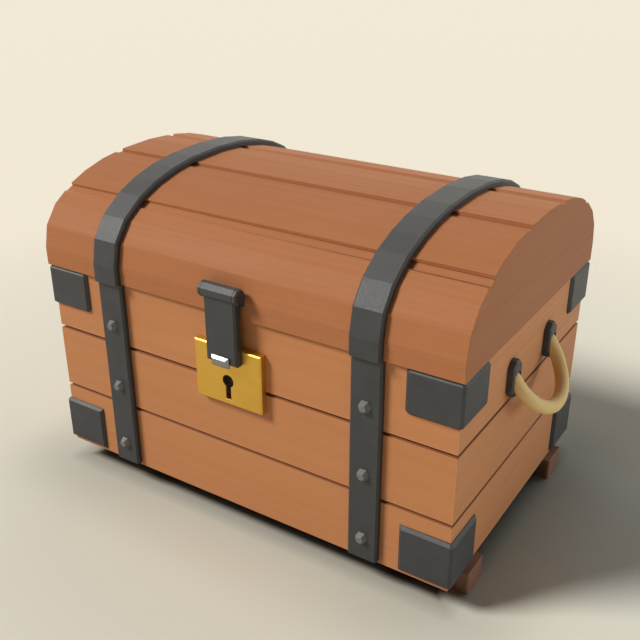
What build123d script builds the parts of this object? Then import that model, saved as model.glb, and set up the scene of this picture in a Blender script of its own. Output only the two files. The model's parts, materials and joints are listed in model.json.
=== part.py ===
from build123d import *
import math
import os

# A domed treasure chest. Millimetres, +Z up, the front faces -Y, the length runs along X.
# The origin is on the surface it stands on, under the middle of the body.

# Wooden body
chest_length = 300.0
chest_depth = 200.0
course_height = 46.0
course_names = ["lower", "middle", "upper"]
wall_thickness = 12.0
groove_half_height = 1.1
groove_depth = 3.0
floor_thickness = 10.0
post_width = 12.0
post_top_drop = 8.0

# Feet
foot_height = 15.5
foot_length = 30.0
foot_depth = 22.0
foot_end_overhang = 4.7
foot_front_inset = 19.5
foot_bevel = 1.0

# Lid
lid_gap = 0.3
lid_end_overhang = 2.0
lid_front_overhang = 2.7
lid_side_height = 12.0
dome_rise = 50.7
dome_exponent = 2.2
stave_thickness = 10.0
lid_end_thickness = 12.0
stave_names = ["front", "front_upper", "top", "rear_upper", "rear"]
stave_angles = [0, 45, 78, 105, 138, 180]
stave_facets = [3, 3, 2, 3, 3]
rebate_width = 6.5
rebate_depth = 2.0
rebate_edge_width = 1.0
rebate_edge_depth = 1.4
step_lean = 1.0

# Iron straps on the body and bands on the lid
strap_end_inset = 55.0
strap_width = 20.0
strap_thickness = 4.0
strap_bevel = 1.2
strap_bottom_margin = 2.5

# Rivets through the straps
rivet_first_rise = 17.7
rivet_spacing = 45.1
rivet_head_radius = 4.3
rivet_head_height = 3.2
rivet_crown_share = 0.55
rivet_shank_radius = 1.5
rivet_grip = 8.0
rivet_sides = 6

# Corner brackets
bracket_thickness = 2.4
bracket_leg = 34.5
bracket_lower_height = 32.5
bracket_upper_height = 28.3
bracket_bottom_margin = 2.3
bracket_bevel = 1.9
bracket_fold_bevel = 1.6
bracket_upper_corner = 2.0

# Lid hinges at the rear ends of the bands
running_gap = 0.3
pin_clearance = 0.05
hinge_knuckle_radius = 4.2
hinge_pin_radius = 2.0
hinge_pin_head_radius = 3.0
hinge_pin_head_length = 1.2
hinge_outer_knuckle = 5.5
lid_open_angle = 105.0
stop_lug_length = 6.4
stop_lug_back = 1.0

# Hasp
hasp_barrel_radius = 5.0
hasp_barrel_length = 28.8
hasp_barrel_sides = 8
hasp_barrel_bevel = 1.0
hasp_axis_rise = 5.0
hasp_pin_radius = 2.0
hasp_arm_width = 23.0
hasp_arm_thickness = 5.0
hasp_arm_proud = 2.7
hasp_arm_bevel = 1.2
hasp_overlap = 8.7
hasp_leaf_thickness = 2.0
hasp_leaf_margin = 1.5
hasp_leaf_width = 19.6
hasp_leaf_strip = 2.0
leaf_screw_spacing = 13.0
leaf_screw_head_radius = 2.5
leaf_screw_head_height = 1.2
leaf_screw_shank_radius = 1.2
leaf_screw_grip = 7.0

# Staple and its steel block at the lower end of the arm
catch_width = 13.0
catch_height = 7.0
catch_depth = 2.7
catch_bevel = 1.7
catch_drop = 1.4
staple_width = 4.0
staple_shank_rise = 0.6
staple_shank_height = 3.3
staple_eye_height = 5.5
staple_eye_wall = 1.2
staple_rear_gap = 0.5

# Lock
lock_width = 50.0
lock_height = 39.5
lock_rim_drop = 19.5
lock_depth = 5.0
lock_wall = 1.5
lock_bevel = 0.8
back_plate_thickness = 1.2
notch_half_width = 4.5
notch_bottom_gap = 1.2
keyhole_rise = 16.4
keyhole_radius = 4.2
keyhole_slot_width = 4.0
keyhole_slot_drop = 12.5
back_keyhole_margin = 3.0
bolt_thickness = 1.7
bolt_front_gap = 0.2
bolt_eye_gap = 0.3
bolt_nose_rest = 3.5
bolt_web_width = 8.0
bolt_web_end_gap = 2.5
bolt_web_drop = 1.4
bolt_talon_radius = 2.2
bolt_rib_height = 2.0
pocket_half_width = 18.0
pocket_margin = 5.0
pocket_depth = 7.0

# Handles on both ends
bail_radius = 30.0
bail_leg = 1.3
bail_tube_radius = 4.3
bail_boss_radius = 4.0
bail_tilt = 36.0
bail_level_angle = 90.0
bail_room_step = 9.0
handle_pivot_drop = 29.7
handle_plate_width = 11.8
handle_plate_height = 23.9
handle_plate_top_rise = 12.2
handle_plate_thickness = 4.6
handle_plate_corner = 3.8
handle_plate_bevel = 1.0
handle_pivot_depth = 2.5
handle_pin_radius = 1.25
handle_side_gap = 0.3

# How far cutting shapes run past a face, and how near an edge must lie to count as on it
overrun = 5.0
edge_tolerance = 0.3

# Planes and centres worked out from the sizes above
half_length = chest_length / 2
half_depth = chest_depth / 2
body_bottom = foot_height
body_top = body_bottom + course_height * len(course_names)
lid_bottom = body_top + lid_gap
dome_base = lid_bottom + lid_side_height
lid_half_length = half_length + lid_end_overhang
lid_half_depth = half_depth + lid_front_overhang
strap_centres = [strap_end_inset - half_length, half_length - strap_end_inset]
hinge_y = lid_half_depth + hinge_knuckle_radius + running_gap
hinge_z = body_top + lid_gap / 2
hasp_y = -lid_half_depth - hasp_barrel_radius
hasp_z = dome_base + hasp_axis_rise
arm_front = hasp_y - hasp_arm_proud
arm_back = arm_front + hasp_arm_thickness
lock_front = -half_depth - lock_depth
lock_top = body_top - lock_rim_drop
lock_low = lock_top - lock_height
arm_low = lock_top - hasp_overlap
catch_low = arm_low - catch_drop
eye_low = arm_low + staple_eye_wall
eye_high = arm_low + staple_eye_height - staple_eye_wall
staple_rear = -half_depth - staple_rear_gap
keyhole_z = lock_low + keyhole_rise
bolt_front = lock_front + lock_wall + bolt_front_gap
bolt_back = bolt_front + bolt_thickness
bolt_web_low = keyhole_z - bolt_web_drop
bolt_web_start = lock_width / 2 - lock_wall - bolt_web_end_gap - bolt_web_width
pivot_x = half_length + handle_plate_thickness - handle_pivot_depth
pivot_z = body_top - handle_pivot_drop


def box_between(x0, x1, y0, y1, z0, z1):
    """A block given by its limits on each axis."""
    middle = Pos((x0 + x1) / 2, (y0 + y1) / 2, (z0 + z1) / 2)
    return middle * Box(abs(x1 - x0), abs(y1 - y0), abs(z1 - z0))


def prism_x(outline, x0, x1):
    """An outline of (y, z) points carried along X."""
    face = make_face(Polyline(*[(x0, y, z) for y, z in outline], close=True))
    return extrude(face, amount=x1 - x0, dir=(1, 0, 0))


def prism_y(outline, y0, y1):
    """An outline of (x, z) points carried along Y."""
    face = make_face(Polyline(*[(x, y0, z) for x, z in outline], close=True))
    return extrude(face, amount=y1 - y0, dir=(0, 1, 0))


def prism_z(outline, z0, z1):
    """An outline of (x, y) points carried along Z."""
    face = make_face(Polyline(*[(x, y, z0) for x, y in outline], close=True))
    return extrude(face, amount=z1 - z0, dir=(0, 0, 1))


def rod_x(radius, x0, x1, y, z):
    """A round bar along X."""
    return Pos((x0 + x1) / 2, y, z) * Rot(0, 90, 0) * Cylinder(radius, abs(x1 - x0))


def barrel_x(x0, x1):
    """A stretch of the hasp's barrel: a flat-sided bar round its axis, with a flat to the front."""
    step = 2 * math.pi / hasp_barrel_sides
    corners = [(hasp_y + hasp_barrel_radius * math.cos(step * (count + 0.5)),
                hasp_z + hasp_barrel_radius * math.sin(step * (count + 0.5)))
               for count in range(hasp_barrel_sides)]
    return prism_x(corners, x0, x1)


def rod_y(radius, y0, y1, x, z):
    """A round bar along Y."""
    return Pos(x, (y0 + y1) / 2, z) * Rot(90, 0, 0) * Cylinder(radius, abs(y1 - y0))


def save(shape, name):
    """Write one named piece."""
    export_step(shape, f"parts/{name}.step")


# Body

def course_section(course):
    """Depth behind the wall face and height of each corner of a plank's section."""
    low = body_bottom + course * course_height
    high = low + course_height
    points = [(wall_thickness, low)]
    if course > 0:
        points += [(groove_depth, low), (0, low + groove_half_height)]
    else:
        points += [(0, low)]
    if course < len(course_names) - 1:
        points += [(0, high - groove_half_height), (groove_depth, high)]
    else:
        points += [(0, high)]
    return points + [(wall_thickness, high)]


def long_plank(course, side):
    """A front (side -1) or back (side 1) plank with mitred ends."""
    outline = [(side * (half_depth - depth), z) for depth, z in course_section(course)]
    bar = prism_x(outline, -half_length, half_length)
    inner = half_length - wall_thickness
    far = side * half_depth
    near = side * (half_depth - wall_thickness)
    plan = [(-half_length, far), (half_length, far), (inner, near), (-inner, near)]
    return bar & prism_z(plan, body_bottom, body_top)


def end_plank(course, side):
    """A left (side -1) or right (side 1) plank with mitred ends."""
    outline = [(side * (half_length - depth), z) for depth, z in course_section(course)]
    bar = prism_y(outline, -half_depth, half_depth)
    inner = half_depth - wall_thickness
    far = side * half_length
    near = side * (half_length - wall_thickness)
    plan = [(far, -half_depth), (far, half_depth), (near, inner), (near, -inner)]
    return bar & prism_z(plan, body_bottom, body_top)


def floor_board():
    inner_length = half_length - wall_thickness
    inner_depth = half_depth - wall_thickness
    return box_between(-inner_length, inner_length, -inner_depth, inner_depth,
                       body_bottom, body_bottom + floor_thickness)


def corner_post(side_x, side_y):
    outer_x = half_length - wall_thickness
    outer_y = half_depth - wall_thickness
    return box_between(side_x * (outer_x - post_width), side_x * outer_x,
                       side_y * (outer_y - post_width), side_y * outer_y,
                       body_bottom + floor_thickness, body_top - post_top_drop)


def foot(side_x, side_y):
    outer_x = half_length + foot_end_overhang
    outer_y = half_depth - foot_front_inset
    block = box_between(side_x * (outer_x - foot_length), side_x * outer_x,
                        side_y * (outer_y - foot_depth), side_y * outer_y, 0, foot_height)
    return chamfer(block.edges().filter_by(Axis.Z), foot_bevel)


def bracket(side_x, side_y, low, high, corner):
    """An L of plate bent round one corner of the body, with its outer rim bevelled."""
    out_x = half_length + bracket_thickness
    out_y = half_depth + bracket_thickness
    bend = bracket_fold_bevel
    plan = [(out_x - bracket_leg, out_y), (out_x - bend, out_y), (out_x, out_y - bend),
            (out_x, out_y - bracket_leg), (half_length, out_y - bracket_leg),
            (half_length, half_depth), (out_x - bracket_leg, half_depth)]
    body = prism_z([(side_x * x, side_y * y) for x, y in plan], low, high)
    if corner > 0:
        body = chamfer([edge for edge in body.edges() if on_free_corner(edge, side_x, side_y)], corner)
    rim = [edge for edge in body.edges() if on_bracket_rim(edge, side_x, side_y)]
    return chamfer(rim, bracket_bevel)


def on_free_corner(edge, side_x, side_y):
    """True for the short edges through the plate at the four corners away from the bend."""
    if edge.length > bracket_thickness + edge_tolerance:
        return False
    point = edge.center()
    free_x = abs(side_x * point.X - half_length - bracket_thickness + bracket_leg) < edge_tolerance
    free_y = abs(side_y * point.Y - half_depth - bracket_thickness + bracket_leg) < edge_tolerance
    return free_x or free_y


def on_bracket_rim(edge, side_x, side_y):
    """True for the outer faces' top, bottom and free upright edges, not for the two along the bend."""
    point = edge.center()
    behind_x = half_length + bracket_thickness - side_x * point.X
    behind_y = half_depth + bracket_thickness - side_y * point.Y
    off_bend = abs(behind_x + behind_y - bracket_fold_bevel) > edge_tolerance
    if min(behind_x, behind_y) > edge_tolerance and off_bend:
        return False
    near_bend = max(behind_x, behind_y) < bracket_fold_bevel + edge_tolerance
    return not (near_bend and abs(edge.tangent_at(0).Z) > edge_tolerance)


# Straps and rivets

def strap_outline(centre, face, thickness):
    """Section of a strap in plan: flat against the wall, bevelled on its outer edges."""
    half = strap_width / 2
    outer = face + math.copysign(thickness, face)
    shoulder = outer - math.copysign(strap_bevel, face)
    return [(centre - half, face), (centre - half, shoulder), (centre - half + strap_bevel, outer),
            (centre + half - strap_bevel, outer), (centre + half, shoulder), (centre + half, face)]


def body_strap(centre, side):
    """One strap on the front or back; at the back it carries the hinge's outer knuckles."""
    low = body_bottom + strap_bottom_margin
    strap = prism_z(strap_outline(centre, side * half_depth, strap_thickness), low, body_top)
    if side < 0:
        return strap
    seat = rod_x(hinge_knuckle_radius + running_gap, centre - strap_width, centre + strap_width,
                 hinge_y, hinge_z)
    for start, end in outer_knuckle_spans(centre):
        knuckle = rod_x(hinge_knuckle_radius, start, end, hinge_y, hinge_z)
        root = box_between(start, end, half_depth, hinge_y, hinge_z - hinge_knuckle_radius, body_top)
        strap = strap + root + knuckle
    inner_start, inner_end = centre_knuckle_span(centre)
    room = box_between(inner_start - running_gap, inner_end + running_gap, half_depth,
                       hinge_y + hinge_knuckle_radius, hinge_z - strap_width, body_top + overrun)
    strap = strap - (seat & room)
    return strap - hinge_bore(centre)


def outer_knuckle_spans(centre):
    half = strap_width / 2
    return [(centre - half, centre - half + hinge_outer_knuckle),
            (centre + half - hinge_outer_knuckle, centre + half)]


def centre_knuckle_span(centre):
    half = strap_width / 2 - hinge_outer_knuckle - running_gap
    return centre - half, centre + half


def hinge_bore(centre):
    return rod_x(hinge_pin_radius + pin_clearance, centre - strap_width, centre + strap_width,
                 hinge_y, hinge_z)


def hinge_pin(centre):
    half = strap_width / 2
    shank = rod_x(hinge_pin_radius, centre - half, centre + half, hinge_y, hinge_z)
    heads = [rod_x(hinge_pin_head_radius, centre + side * half,
                   centre + side * (half + hinge_pin_head_length), hinge_y, hinge_z) for side in (-1, 1)]
    return shank + heads[0] + heads[1]


def rivet_height(level):
    return body_bottom + rivet_first_rise + rivet_spacing * level


def rivet(centre, level, side):
    """A hex head with a smaller crown, on a round shank that runs into the plank."""
    z = rivet_height(level)
    seat = side * (half_depth + strap_thickness)
    plane = Plane(origin=(centre, seat, z), x_dir=(1, 0, 0), z_dir=(0, side, 0))
    crown_radius = rivet_head_radius * rivet_crown_share
    base = plane * RegularPolygon(rivet_head_radius, rivet_sides)
    crown = plane.offset(rivet_head_height) * RegularPolygon(crown_radius, rivet_sides)
    return loft([base, crown]) + rivet_shank(centre, level, side)


def rivet_shank(centre, level, side):
    z = rivet_height(level)
    tip = side * (half_depth - rivet_grip)
    return rod_y(rivet_shank_radius, tip, side * (half_depth + strap_thickness), centre, z)


# Lid

def dome_point(angle, inset):
    """A corner of the faceted dome: a full, slightly square curve, inset from the outer surface."""
    reach = lid_half_depth - inset
    rise = dome_rise - inset
    power = 2 / dome_exponent
    side = math.cos(math.radians(angle))
    up = abs(math.sin(math.radians(angle)))
    return (-math.copysign(reach * abs(side) ** power, side), dome_base + rise * up ** power)


def facet_angles(index):
    start = stave_angles[index]
    step = (stave_angles[index + 1] - start) / stave_facets[index]
    return [start + step * count for count in range(stave_facets[index] + 1)]


def towards(point, other, distance):
    """The point that lies a distance along the way from one point to another."""
    share = distance / math.dist(point, other)
    return (point[0] + (other[0] - point[0]) * share, point[1] + (other[1] - point[1]) * share)


def rebate(edge, before, inside):
    """The cut along a stave's rearward edge: a short slope down, then a wide shallow floor."""
    start = towards(edge, before, rebate_width)
    above = towards(edge, before, rebate_width - rebate_edge_width)
    sunk = towards(edge, inside, rebate_edge_depth)
    corner = (above[0] + sunk[0] - edge[0], above[1] + sunk[1] - edge[1])
    return [start, corner, towards(edge, inside, rebate_depth)]


def stave_outline(index):
    """Section of one stave: a steep step at its forward edge and a rebate along its rearward one."""
    angles = facet_angles(index)
    outer = [dome_point(angle, 0) for angle in angles]
    inner = [dome_point(angle, stave_thickness) for angle in angles]
    first, last = outer[0], outer[-1]
    if index > 0:
        start = [towards(first, inner[0], rebate_depth), towards(first, outer[1], step_lean)]
    else:
        start = [(-lid_half_depth, lid_bottom), first]
    if index < len(stave_names) - 1:
        end = rebate(last, outer[-2], inner[-1])
    else:
        end = [last, (lid_half_depth, lid_bottom)]
    if index == 0:
        inner = [(-lid_half_depth + stave_thickness, lid_bottom)] + inner
    if index == len(stave_names) - 1:
        inner = inner + [(lid_half_depth - stave_thickness, lid_bottom)]
    return start + outer[1:-1] + end + inner[::-1]


def stave(index):
    return prism_x(stave_outline(index), -lid_half_length, lid_half_length)


def dome_line(inset):
    """All corners of the dome from the front lid edge to the rear one."""
    angles = []
    for index in range(len(stave_names)):
        angles += [angle for angle in facet_angles(index) if angle not in angles]
    side = lid_half_depth - inset
    return [(-side, lid_bottom)] + [dome_point(angle, inset) for angle in angles] + [(side, lid_bottom)]


def lid_end(side):
    outer = side * lid_half_length
    inner = side * (lid_half_length - lid_end_thickness)
    return prism_x(dome_line(stave_thickness), inner, outer)


def on_band_rim(edge, centre):
    """True for the long outer edges of a band: they lie on its outer line at either side."""
    if abs(edge.center().X - centre) < strap_width / 2 - edge_tolerance:
        return False
    outer = dome_line(-strap_thickness)
    spots = [(corner.Y, corner.Z) for corner in edge.vertices()]
    return all(min(math.dist(spot, corner) for corner in outer) < edge_tolerance for spot in spots)


def lid_band(centre):
    """An iron band over the dome with bevelled edges and the hinge's middle knuckle."""
    half = strap_width / 2
    band = prism_x(dome_line(-strap_thickness) + dome_line(0)[::-1], centre - half, centre + half)
    band = chamfer([edge for edge in band.edges() if on_band_rim(edge, centre)], strap_bevel)
    start, end = centre_knuckle_span(centre)
    top = hinge_z + hinge_knuckle_radius + running_gap
    for x0, x1 in ((centre - strap_width, start), (end, centre + strap_width)):
        band = band - box_between(x0, x1, lid_half_depth - overrun, hinge_y + overrun,
                                  lid_bottom - overrun, top)
    root = box_between(start, end, lid_half_depth, hinge_y, lid_bottom, hinge_z + hinge_knuckle_radius)
    knuckle = rod_x(hinge_knuckle_radius, start, end, hinge_y, hinge_z)
    return band + root + knuckle + stop_lug(start, end) - hinge_bore(centre)


def stop_lug(start, end):
    """A lug that meets the rear strap, less a running gap, when the lid is fully open."""
    face = hinge_y - half_depth - strap_thickness - running_gap
    lug = box_between(start, end, -face, stop_lug_back, -stop_lug_length, 0)
    return Pos(0, hinge_y, hinge_z) * Rot(lid_open_angle, 0, 0) * lug


# Hasp

def hasp_bore():
    return rod_x(hasp_pin_radius + pin_clearance, -hasp_barrel_length, hasp_barrel_length, hasp_y, hasp_z)


def hasp_leaf():
    """Plate on the lid's front edge, with the two end knuckles of the barrel on its upper strip."""
    half = hasp_leaf_width / 2
    plate_front = -lid_half_depth - hasp_leaf_thickness
    top = hasp_z - hasp_barrel_radius - running_gap
    strip_low = top - hasp_leaf_strip
    leaf = box_between(-half, half, plate_front, -lid_half_depth, lid_bottom + hasp_leaf_margin, top)
    far = hasp_barrel_length / 2 - hasp_barrel_bevel
    near = hasp_arm_width / 2 + running_gap
    leaf = leaf + box_between(-far, far, plate_front, -lid_half_depth, strip_low, top)
    for side in (-1, 1):
        ear = box_between(side * near, side * far, plate_front, -lid_half_depth, strip_low, hasp_z)
        leaf = leaf + ear + barrel_end(side)
    return leaf - hasp_bore() - leaf_screws()


def barrel_end(side):
    """An end knuckle of the barrel, bevelled round its outer end."""
    outer = side * hasp_barrel_length / 2
    knuckle = barrel_x(side * (hasp_arm_width / 2 + running_gap), outer)
    rim = [edge for edge in knuckle.edges() if abs(edge.center().X - outer) < edge_tolerance]
    return chamfer(rim, hasp_barrel_bevel)


def leaf_screws():
    z = (lid_bottom + dome_base) / 2
    front = -lid_half_depth - hasp_leaf_thickness
    screws = []
    for side in (-1, 1):
        x = side * leaf_screw_spacing / 2
        head = rod_y(leaf_screw_head_radius, front, front + leaf_screw_head_height, x, z)
        shank = rod_y(leaf_screw_shank_radius, front, -lid_half_depth + leaf_screw_grip, x, z)
        screws.append(head + shank)
    return Compound(children=screws)


def hasp_pin():
    half = hasp_barrel_length / 2
    return rod_x(hasp_pin_radius, -half, half, hasp_y, hasp_z)


def hasp_arm():
    half = hasp_arm_width / 2
    plate = box_between(-half, half, arm_front, arm_back, arm_low, hasp_z)
    rim = [edge for edge in plate.edges() if edge.center().Y < arm_front + edge_tolerance
           and edge.center().Z < hasp_z - edge_tolerance]
    plate = chamfer(rim, hasp_arm_bevel)
    arm = plate + barrel_x(-half, half)
    return arm - staple_shank() - hasp_bore()


def staple_shank():
    """The part of the staple that passes through the arm."""
    low = arm_low + staple_shank_rise
    return box_between(-staple_width / 2, staple_width / 2, arm_front, arm_back,
                       low, low + staple_shank_height)


def staple():
    """Steel block in front of the arm, on a shank with an eye that reaches into the lock."""
    half = catch_width / 2
    front = arm_front - catch_depth
    block = box_between(-half, half, front, arm_front, catch_low, catch_low + catch_height)
    rim = [edge for edge in block.edges() if edge.center().Y < front + edge_tolerance]
    block = chamfer(rim, catch_bevel)
    plate = box_between(-staple_width / 2, staple_width / 2, arm_back, staple_rear,
                        arm_low, arm_low + staple_eye_height)
    eye = box_between(-staple_width, staple_width, bolt_front - bolt_front_gap / 2,
                      bolt_back + bolt_eye_gap, eye_low, eye_high)
    return block + staple_shank() + plate - eye


# Lock

def lock_case():
    """Brass case: a shallow box open at the wall, with a keyhole, a staple notch and a bolt rib."""
    half = lock_width / 2
    case = box_between(-half, half, lock_front, -half_depth, lock_low, lock_top)
    rim = [edge for edge in case.edges() if edge.center().Y < lock_front + edge_tolerance]
    case = chamfer(rim, lock_bevel)
    hollow = box_between(-half + lock_wall, half - lock_wall, lock_front + lock_wall, -half_depth + overrun,
                         lock_low + lock_wall, lock_top - lock_wall)
    notch = box_between(-notch_half_width, notch_half_width, lock_front - overrun, -half_depth + overrun,
                        arm_low - notch_bottom_gap, lock_top + overrun)
    rib_high = bolt_web_low - running_gap
    rib = box_between(bolt_nose_rest, half - lock_wall, lock_front + lock_wall,
                      -half_depth - back_plate_thickness, rib_high - bolt_rib_height, rib_high)
    return case - hollow - notch + rib - keyhole(lock_front - overrun, -half_depth + overrun, 0)


def keyhole(y0, y1, margin):
    """The keyhole's shape, larger all round by a margin."""
    half = keyhole_slot_width / 2 + margin
    round_part = rod_y(keyhole_radius + margin, y0, y1, 0, keyhole_z)
    slot = box_between(-half, half, y0, y1, keyhole_z - keyhole_slot_drop - margin, keyhole_z)
    return round_part + slot


def lock_back_plate():
    """Steel plate that closes the case at the wall, behind the bolt."""
    half = lock_width / 2 - lock_wall
    rear = -half_depth
    plate = box_between(-half, half, rear - back_plate_thickness, rear,
                        lock_low + lock_wall, lock_top - lock_wall)
    notch = box_between(-notch_half_width, notch_half_width, rear - overrun, rear + overrun,
                        arm_low - notch_bottom_gap, lock_top + overrun)
    return plate - notch - keyhole(rear - overrun, rear + overrun, back_keyhole_margin)


def lock_bolt():
    """Sliding bolt: a nose at the staple's eye, a web beside the keyhole and a talon for the key."""
    web_end = bolt_web_start + bolt_web_width
    nose = box_between(bolt_nose_rest, web_end, bolt_front, bolt_back,
                       eye_low + bolt_eye_gap, eye_high - bolt_eye_gap)
    web = box_between(bolt_web_start, web_end, bolt_front, bolt_back,
                      bolt_web_low, lock_top - lock_wall - running_gap)
    talon = rod_y(bolt_talon_radius, bolt_front - overrun, bolt_back + overrun,
                  bolt_web_start, bolt_web_low + bolt_web_width / 2)
    return nose + web - talon


def lock_pocket():
    """Pocket cut in the front planks behind the keyhole, for the key's end."""
    return box_between(-pocket_half_width, pocket_half_width,
                       -half_depth - overrun, -half_depth + pocket_depth,
                       lock_low + pocket_margin, arm_low - pocket_margin)


# Handles, built at the right end and mirrored for the left

def half_ring(thickness_radius, tilt):
    """Half a ring on two short legs from the pivot line, leaning out from the wall by a tilt."""
    start, end = (0, -bail_radius), (0, bail_radius)
    bend_start, bend_end = (bail_leg, -bail_radius), (bail_leg, bail_radius)
    bend = ThreePointArc(bend_start, (bail_leg + bail_radius, 0), bend_end)
    line = Line(start, bend_start) + bend + Line(bend_end, end)
    section = Plane(origin=start, z_dir=(1, 0, 0)) * Circle(thickness_radius)
    ring = sweep(section, path=line)
    return Pos(pivot_x, 0, pivot_z) * Rot(0, 90 - tilt, 0) * ring


def swing_room():
    """Space that the bail's legs sweep between hanging and level, with a running gap."""
    room = bail_tube_radius + running_gap
    steps = math.ceil((bail_level_angle - bail_tilt) / bail_room_step)
    step = (bail_level_angle - bail_tilt) / steps
    rings = [half_ring(room, bail_tilt + step * count) for count in range(steps + 1)]
    half = bail_tube_radius + handle_side_gap
    bosses = [rod_y(room, leg - half, leg + half, pivot_x, pivot_z) for leg in leg_centres()]
    return rings + bosses


def without(shape, cutters):
    """The shape with each cutter taken away in turn."""
    for cutter in cutters:
        shape = shape - cutter
    return shape


def leg_centres():
    return [-bail_radius, bail_radius]


def handle_plate(centre):
    """Eight-sided plate whose lower half is grooved for the bail's leg."""
    half = handle_plate_width / 2
    top = pivot_z + handle_plate_top_rise
    low = top - handle_plate_height
    cut = handle_plate_corner
    outline = [(-half, low + cut), (-half + cut, low), (half - cut, low), (half, low + cut),
               (half, top - cut), (half - cut, top), (-half + cut, top), (-half, top - cut)]
    front = half_length + handle_plate_thickness
    plate = prism_x([(centre + y, z) for y, z in outline], half_length, front)
    rim = [edge for edge in plate.edges() if edge.center().X > front - edge_tolerance]
    plate = chamfer(rim, handle_plate_bevel)
    return without(plate, swing_room()) - handle_pin(centre)


def handle_pin(centre):
    half = handle_plate_width / 2
    return rod_y(handle_pin_radius, centre - half, centre + half, pivot_x, pivot_z)


def bail():
    """Half a ring of round bar that hangs out from the wall, with a short boss at each end."""
    ring = half_ring(bail_tube_radius, bail_tilt)
    for leg in leg_centres():
        ring = ring + rod_y(bail_boss_radius, leg - bail_boss_radius, leg + bail_boss_radius,
                            pivot_x, pivot_z)
    far = 2 * bail_radius
    return ring - rod_y(handle_pin_radius + pin_clearance, -far, far, pivot_x, pivot_z)


def on_side(shape, side):
    """The shape as built at the right end, or mirrored to the left end."""
    return shape if side > 0 else mirror(shape, about=Plane.YZ)


def build_body():
    places = [(x, level, side) for side in (-1, 1) for x in strap_centres
              for level in range(len(course_names))]
    shanks = Compound(children=[rivet_shank(*place) for place in places])
    save(Compound(children=[rivet(*place) for place in places]), "strap_rivets")
    pocket = lock_pocket()
    for course, name in enumerate(course_names):
        save(long_plank(course, -1) - shanks - pocket, f"front_plank_{name}")
        save(long_plank(course, 1) - shanks, f"back_plank_{name}")
        for side, end in ((-1, "left"), (1, "right")):
            plank = end_plank(course, side)
            if course == len(course_names) - 1:
                plank = without(plank, [on_side(cutter, side) for cutter in swing_room()])
            save(plank, f"{end}_plank_{name}")
    save(floor_board(), "floor_board")
    for side_y, depth_name in ((-1, "front"), (1, "rear")):
        for side_x, end in ((-1, "left"), (1, "right")):
            save(corner_post(side_x, side_y), f"corner_post_{depth_name}_{end}")
            save(foot(side_x, side_y), f"foot_{depth_name}_{end}")
            low = body_bottom + bracket_bottom_margin
            lower = bracket(side_x, side_y, low, low + bracket_lower_height, 0)
            upper = bracket(side_x, side_y, body_top - bracket_upper_height, body_top, bracket_upper_corner)
            save(lower, f"bracket_lower_{depth_name}_{end}")
            save(upper, f"bracket_upper_{depth_name}_{end}")
        for centre, end in zip(strap_centres, ("left", "right")):
            save(body_strap(centre, side_y) - shanks, f"strap_{depth_name}_{end}")


def build_lid():
    screws = leaf_screws()
    for index, name in enumerate(stave_names):
        board = stave(index)
        save(board - screws if index == 0 else board, f"lid_stave_{name}")
    for side, end in ((-1, "left"), (1, "right")):
        save(lid_end(side), f"lid_end_{end}")
    for centre, end in zip(strap_centres, ("left", "right")):
        save(lid_band(centre), f"lid_band_{end}")
    save(Compound(children=[hinge_pin(centre) for centre in strap_centres]), "lid_hinge_pins")
    save(hasp_leaf(), "hasp_leaf")
    save(screws, "hasp_leaf_screws")
    save(hasp_pin(), "hasp_pin")
    save(hasp_arm(), "hasp_arm")
    save(staple(), "hasp_staple")


def build_lock():
    save(lock_case(), "lock_case")
    save(lock_back_plate(), "lock_back_plate")
    save(lock_bolt(), "lock_bolt")


def build_handles():
    pins = []
    for side, end in ((-1, "left"), (1, "right")):
        for centre, depth_name in zip(leg_centres(), ("front", "rear")):
            save(on_side(handle_plate(centre), side), f"handle_plate_{end}_{depth_name}")
            pins.append(on_side(handle_pin(centre), side))
        save(on_side(bail(), side), f"handle_bail_{end}")
    save(Compound(children=pins), "handle_pins")


os.makedirs("parts", exist_ok=True)
build_body()
build_lid()
build_lock()
build_handles()
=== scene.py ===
import json
import math
import random

import bmesh
import bpy
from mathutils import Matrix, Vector


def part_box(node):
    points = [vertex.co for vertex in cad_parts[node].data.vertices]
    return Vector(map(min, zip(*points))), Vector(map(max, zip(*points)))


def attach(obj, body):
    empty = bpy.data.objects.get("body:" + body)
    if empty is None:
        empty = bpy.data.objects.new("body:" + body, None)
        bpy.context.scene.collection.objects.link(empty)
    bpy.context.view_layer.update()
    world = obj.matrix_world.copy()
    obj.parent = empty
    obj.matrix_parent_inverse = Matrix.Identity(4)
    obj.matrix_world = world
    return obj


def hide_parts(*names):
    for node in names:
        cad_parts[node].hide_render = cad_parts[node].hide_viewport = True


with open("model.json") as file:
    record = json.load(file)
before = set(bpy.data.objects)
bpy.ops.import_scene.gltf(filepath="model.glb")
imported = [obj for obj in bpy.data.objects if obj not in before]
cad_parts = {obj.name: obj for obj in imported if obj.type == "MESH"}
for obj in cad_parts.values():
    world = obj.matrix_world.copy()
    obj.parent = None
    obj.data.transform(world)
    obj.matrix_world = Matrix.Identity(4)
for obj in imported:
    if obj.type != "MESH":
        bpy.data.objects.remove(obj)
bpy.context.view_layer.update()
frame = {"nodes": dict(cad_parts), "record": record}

nodes = frame["nodes"]
random.seed(11)
mm = 0.001

# The chest's sizes, as its solids have them
half_length = 150 * mm
half_depth = 100 * mm
courses = ["lower", "middle", "upper"]
stave_names = ["front", "front_upper", "top", "rear_upper", "rear"]
# The stave whose front step is painted paler, as painted light
painted_light_stave = "front_upper"
corners = ["front_left", "front_right", "rear_left", "rear_right"]
strap_places = [-95 * mm, 95 * mm]
strap_thickness = 4 * mm
lid_axis = Vector((0, 0, 153.8)) * mm

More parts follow.
